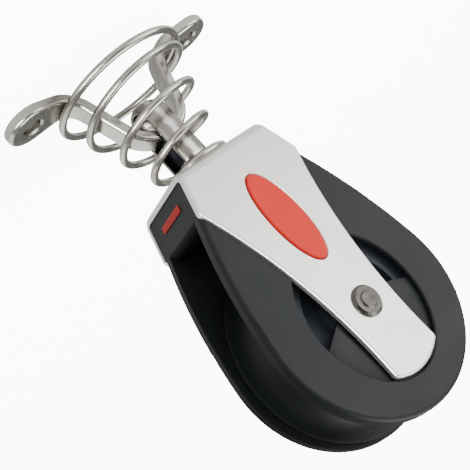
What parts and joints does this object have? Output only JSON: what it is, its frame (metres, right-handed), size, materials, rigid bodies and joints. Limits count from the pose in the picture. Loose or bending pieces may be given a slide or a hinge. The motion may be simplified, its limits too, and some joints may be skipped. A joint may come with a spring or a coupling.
{
  "type": "swivel block",
  "caption": "Stand-up swivel block: a grooved sheave between two cheeks and a folded strap, on a swivel bow, a cone spring and an eye strap.",
  "frame": {"origin": "on the deck plane, midway between the eye strap's two screw holes", "axes": "+X along the eye strap from hole to hole, +Z away from the deck towards the sheave, +Y across the eye strap; the head is turned 5.5 degrees clockwise on its swivel, seen from the sheave end"},
  "size_m": [0.0678, 0.0402, 0.1166],
  "materials": {
    "polished_stainless": "polished",
    "satin_stainless": "satin",
    "spring_steel": "polished wire",
    "rivet_steel": "turned",
    "cheek_plastic": "satin black moulding",
    "sheave_plastic": "fine moulded black",
    "red_inlay": "matt coral red",
    "bearing_plastic": "natural"
  },
  "bodies": {
    "deck_end": {"eye_strap": "polished_stainless", "stand_up_spring": "spring_steel"},
    "bow": {"swivel_bow": "polished_stainless", "swivel_stud": "rivet_steel", "bow_washer": "polished_stainless"},
    "head": {"head_strap": "satin_stainless", "head_block": "cheek_plastic", "side_key": "red_inlay", "stud_washer": "bearing_plastic", "front_cheek": "cheek_plastic", "rear_cheek": "cheek_plastic", "front_inlay": "red_inlay", "rear_inlay": "red_inlay", "axle_rivet": "rivet_steel", "axle_sleeve": "polished_stainless", "front_washer": "bearing_plastic", "rear_washer": "bearing_plastic"},
    "wheel": {"sheave": "sheave_plastic", "sheave_bush": "bearing_plastic"}
  },
  "joints": [
    {"name": "lean", "type": "hinge", "parent": "deck_end", "child": "bow", "pos_m": [0, 0, 0.02256], "axis": [1, 0, 0], "range_deg": [-40, 40], "stiffness_Nm_per_rad": 0.5, "deforming": ["stand_up_spring"]},
    {"name": "head_swivel", "type": "hinge", "parent": "bow", "child": "head", "pos_m": [0, 0, 0.03591], "axis": [0, 0, 1], "continuous": true},
    {"name": "sheave_spin", "type": "hinge", "parent": "head", "child": "wheel", "pos_m": [0, 0, 0.08781], "axis": [0.0958, 0.9954, 0], "continuous": true}
  ]
}
